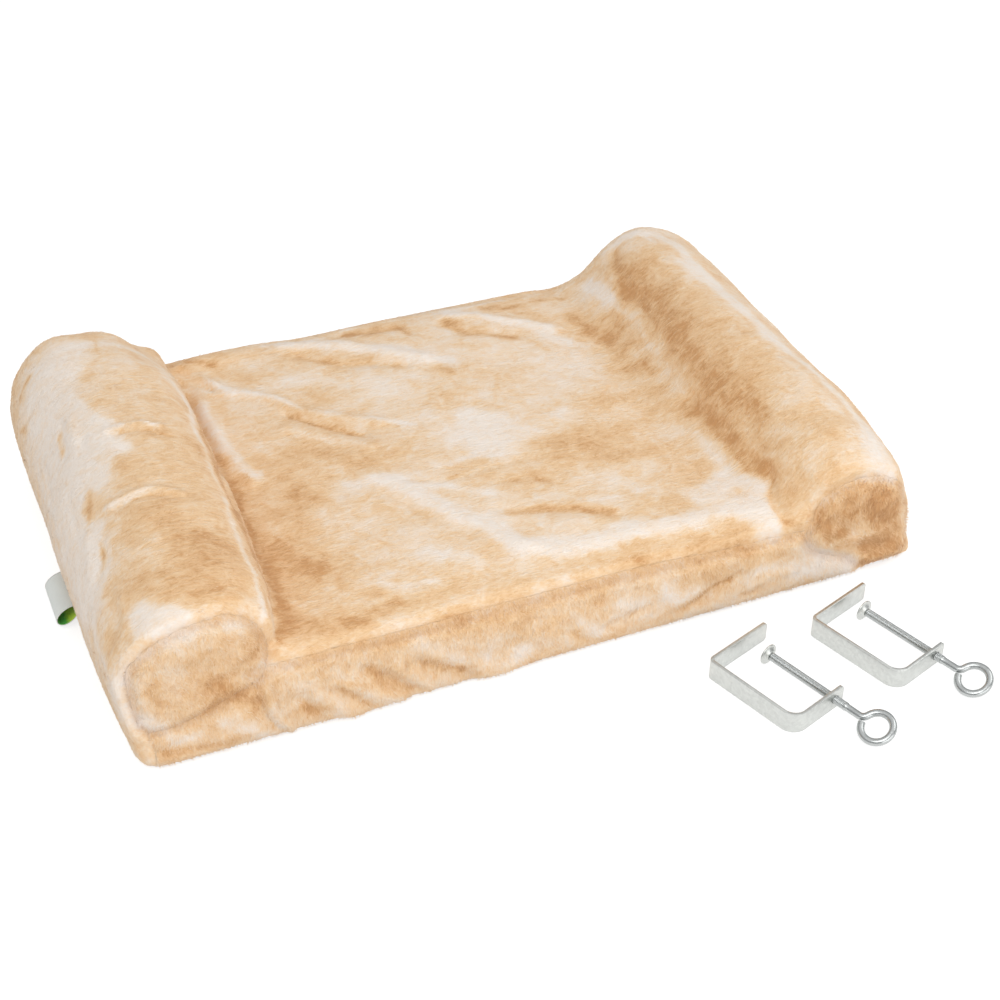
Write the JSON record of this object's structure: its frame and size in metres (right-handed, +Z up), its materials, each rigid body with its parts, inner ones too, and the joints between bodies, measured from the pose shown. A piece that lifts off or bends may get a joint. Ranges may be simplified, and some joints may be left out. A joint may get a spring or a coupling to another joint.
{
  "type": "window mounted cat perch",
  "caption": "Plush cat lounger with a flat mattress between two raised end bolsters, and screw clamps that hold it to a window sill.",
  "frame": {"origin": "centre of the lounger's underside, on the plane that it rests on", "axes": "+X along the window to the right bolster, +Y towards the window, -Y is the front, +Z up"},
  "size_m": [0.5716, 0.4985, 0.1157],
  "materials": {
    "plush": "short-pile plush",
    "foam": "open-cell foam",
    "board": "raw board",
    "lining": "plain woven",
    "binding": "woven tape",
    "label": "satin",
    "zip_tape": "woven tape",
    "zip_teeth": "moulded",
    "zip_metal": "nickel plated",
    "zinc": "zinc plated"
  },
  "bodies": {
    "lounger": {"base_board": "board", "mattress_foam": "foam", "bolster_foam_left": "foam", "bolster_foam_right": "foam", "bottom_panel": "lining", "slit_bindings": "binding", "cover_top_panel": "plush", "cover_front_band": "plush", "cover_back_band_upper": "plush", "cover_back_band_lower": "plush", "end_cap_front_left": "plush", "end_cap_front_right": "plush", "end_cap_back_left": "plush", "end_cap_back_right": "plush", "label_loop": "label", "zip_tape_upper": "zip_tape", "zip_tape_lower": "zip_tape", "zip_teeth_upper": "zip_teeth", "zip_teeth_lower": "zip_teeth"},
    "slider": {"zip_slider": "zip_metal"},
    "pull": {"zip_pull": "zip_metal"},
    "clamp_a_strip": {"clamp_frame_a": "zinc"},
    "clamp_a_disc": {"pressure_disc_a": "zinc"},
    "clamp_a_screw": {"eye_screw_a": "zinc"},
    "clamp_b_strip": {"clamp_frame_b": "zinc"},
    "clamp_b_disc": {"pressure_disc_b": "zinc"},
    "clamp_b_screw": {"eye_screw_b": "zinc"}
  },
  "joints": [
    {"name": "zip_slide", "type": "slide", "parent": "lounger", "child": "slider", "axis": [1, 0, 0], "range_m": [-0.336, 0]},
    {"name": "zip_pull_swing", "type": "hinge", "parent": "slider", "child": "pull", "pos_m": [0.17105, 0.1716, 0.03], "axis": [0, 1, 0], "range_deg": [-95, 25]},
    {"name": "clamp_a_lift", "type": "slide", "parent": "lounger", "child": "clamp_a_strip", "axis": [0, 0, 1], "range_m": [0, 0.15]},
    {"name": "clamp_a_travel", "type": "slide", "parent": "clamp_a_strip", "child": "clamp_a_disc", "axis": [-0.3355, 0.9421, 0], "range_m": [-0.0513, 0.0085]},
    {"name": "clamp_a_turn", "type": "hinge", "parent": "clamp_a_disc", "child": "clamp_a_screw", "pos_m": [0.12738, -0.22654, 0.0075], "axis": [-0.3355, 0.9421, 0], "range_deg": [-18468, 3060]},
    {"name": "clamp_b_lift", "type": "slide", "parent": "lounger", "child": "clamp_b_strip", "axis": [0, 0, 1], "range_m": [0, 0.15]},
    {"name": "clamp_b_travel", "type": "slide", "parent": "clamp_b_strip", "child": "clamp_b_disc", "axis": [-0.3355, 0.9421, 0], "range_m": [-0.0548, 0.005]},
    {"name": "clamp_b_turn", "type": "hinge", "parent": "clamp_b_disc", "child": "clamp_b_screw", "pos_m": [0.20831, -0.21284, 0.0075], "axis": [-0.3355, 0.9421, 0], "range_deg": [-19728, 1800]}
  ],
  "couplings": [
    {"joint": "clamp_a_travel", "follows": "clamp_a_turn", "m_per_rad": 0.00015915},
    {"joint": "clamp_b_travel", "follows": "clamp_b_turn", "m_per_rad": 0.00015915}
  ]
}
